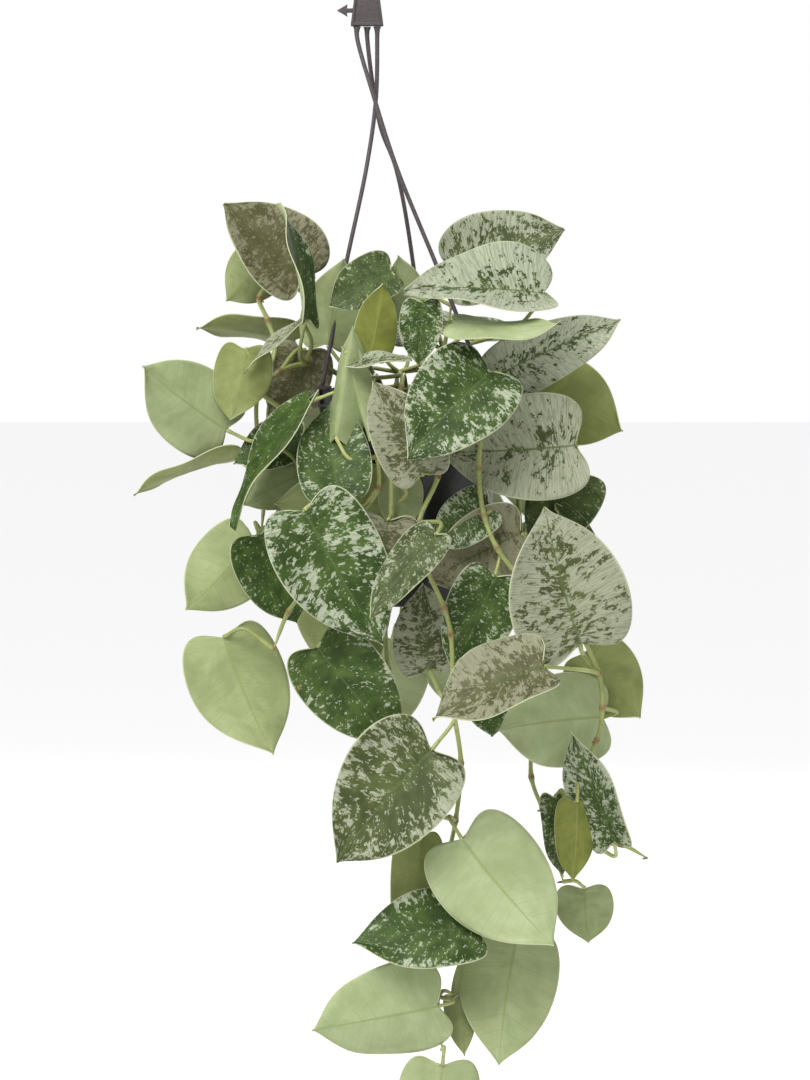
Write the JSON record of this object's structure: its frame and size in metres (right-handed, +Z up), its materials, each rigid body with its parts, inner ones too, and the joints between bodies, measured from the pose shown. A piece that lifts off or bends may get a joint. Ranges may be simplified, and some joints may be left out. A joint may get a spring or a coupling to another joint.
{
  "type": "potted satin pothos",
  "caption": "Trailing satin pothos with silver-splashed heart-shaped leaves, growing in a black plastic pot that hangs from a strand hanger with a hook.",
  "frame": {"origin": "bearing point inside the top of the hook, where the pot hangs from a rail or ceiling hook", "axes": "+Z up, -Y towards the front of the plant, +X to the plant's right as seen from the front"},
  "size_m": [0.4037, 0.3349, 0.969],
  "materials": {
    "hanger_plastic": "satin moulded plastic",
    "pot_plastic": "smooth moulded plastic",
    "potting_mix": "damp crumbly peat and bark",
    "stem": "smooth green stem",
    "leaf": "velvety leaf with silver splashes, pale underneath"
  },
  "bodies": {
    "root": {"hanger_head": "hanger_plastic", "hanger_strand_left": "hanger_plastic", "hanger_strand_right": "hanger_plastic", "hanger_strand_back": "hanger_plastic", "pot": "pot_plastic", "potting_mix": "potting_mix", "vine_front": "stem", "vine_left": "stem", "vine_middle": "stem", "vine_right": "stem", "vine_outer": "stem", "vine_loop": "stem", "vine_crown_left": "stem", "vine_crown_right": "stem", "vine_back": "stem", "leaf_front_1": "leaf", "leaf_front_2": "leaf", "leaf_front_3": "leaf", "leaf_front_4": "leaf", "leaf_front_5": "leaf", "leaf_front_6": "leaf", "leaf_front_7": "leaf", "leaf_front_8": "leaf", "leaf_left_1": "leaf", "leaf_left_2": "leaf", "leaf_left_3": "leaf", "leaf_left_4": "leaf", "leaf_middle_1": "leaf", "leaf_middle_2": "leaf", "leaf_middle_3": "leaf", "leaf_middle_4": "leaf", "leaf_right_1": "leaf", "leaf_right_2": "leaf", "leaf_right_3": "leaf", "leaf_right_4": "leaf", "leaf_right_5": "leaf", "leaf_right_6": "leaf", "leaf_right_7": "leaf", "leaf_right_8": "leaf", "leaf_outer_1": "leaf", "leaf_outer_2": "leaf", "leaf_outer_3": "leaf", "leaf_loop_1": "leaf", "leaf_loop_2": "leaf", "leaf_loop_3": "leaf", "leaf_loop_4": "leaf", "leaf_loop_5": "leaf", "leaf_loop_6": "leaf", "leaf_loop_7": "leaf", "leaf_crown_1": "leaf", "leaf_crown_2": "leaf", "leaf_crown_3": "leaf", "leaf_crown_4": "leaf", "leaf_crown_5": "leaf", "leaf_crown_6": "leaf", "leaf_back_1": "leaf", "leaf_back_2": "leaf", "leaf_back_3": "leaf", "leaf_back_4": "leaf", "leaf_back_5": "leaf"}
  },
  "joints": []
}
